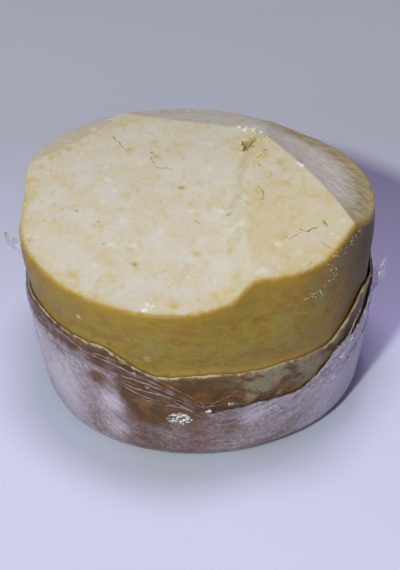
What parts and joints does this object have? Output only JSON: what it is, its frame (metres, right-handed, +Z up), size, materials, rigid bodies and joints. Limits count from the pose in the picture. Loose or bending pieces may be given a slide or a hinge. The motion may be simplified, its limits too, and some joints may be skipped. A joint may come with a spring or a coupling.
{
  "type": "tulum cheese wheel in its skin",
  "caption": "Wheel of skin-ripened tulum cheese, trimmed flat on top by knife cuts, in the lower part of its goat skin with crumpled cling film drawn up round it.",
  "frame": {"origin": "on the base, under the middle of the wheel", "axes": "+Z up, the pictured side faces -Y, +X to the right in the picture"},
  "size_m": [0.2819, 0.2717, 0.1622],
  "materials": {
    "cheese": "waxy, with matt cut faces",
    "hide": "dry, mottled",
    "film": "clear, crumpled"
  },
  "bodies": {
    "root": {"cheese": "cheese", "hide": "hide", "cling_film": "film"}
  },
  "joints": []
}
